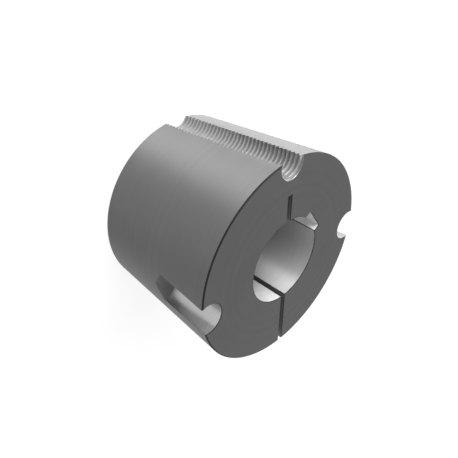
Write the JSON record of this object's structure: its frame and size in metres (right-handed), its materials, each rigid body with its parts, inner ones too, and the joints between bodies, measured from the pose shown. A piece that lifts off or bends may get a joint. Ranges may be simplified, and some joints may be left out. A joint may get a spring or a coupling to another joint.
{
  "type": "taper bush",
  "caption": "Split taper bush with a keyed bore, a relief slit, blind screw half holes and a threaded jacking half hole in its rim.",
  "frame": {"origin": "on the bore's axis, in the plane of the small end face, which the bush stands on", "axes": "+Z along the bore towards the large end face; +Y from the bore's axis to the jacking half hole, so the split lies at -Y"},
  "size_m": [0.1078, 0.1075, 0.0762],
  "materials": {
    "machined_iron": "fine turned grey iron, lightly oiled, semi-matt"
  },
  "bodies": {
    "root": {"bush": "machined_iron"}
  },
  "joints": []
}
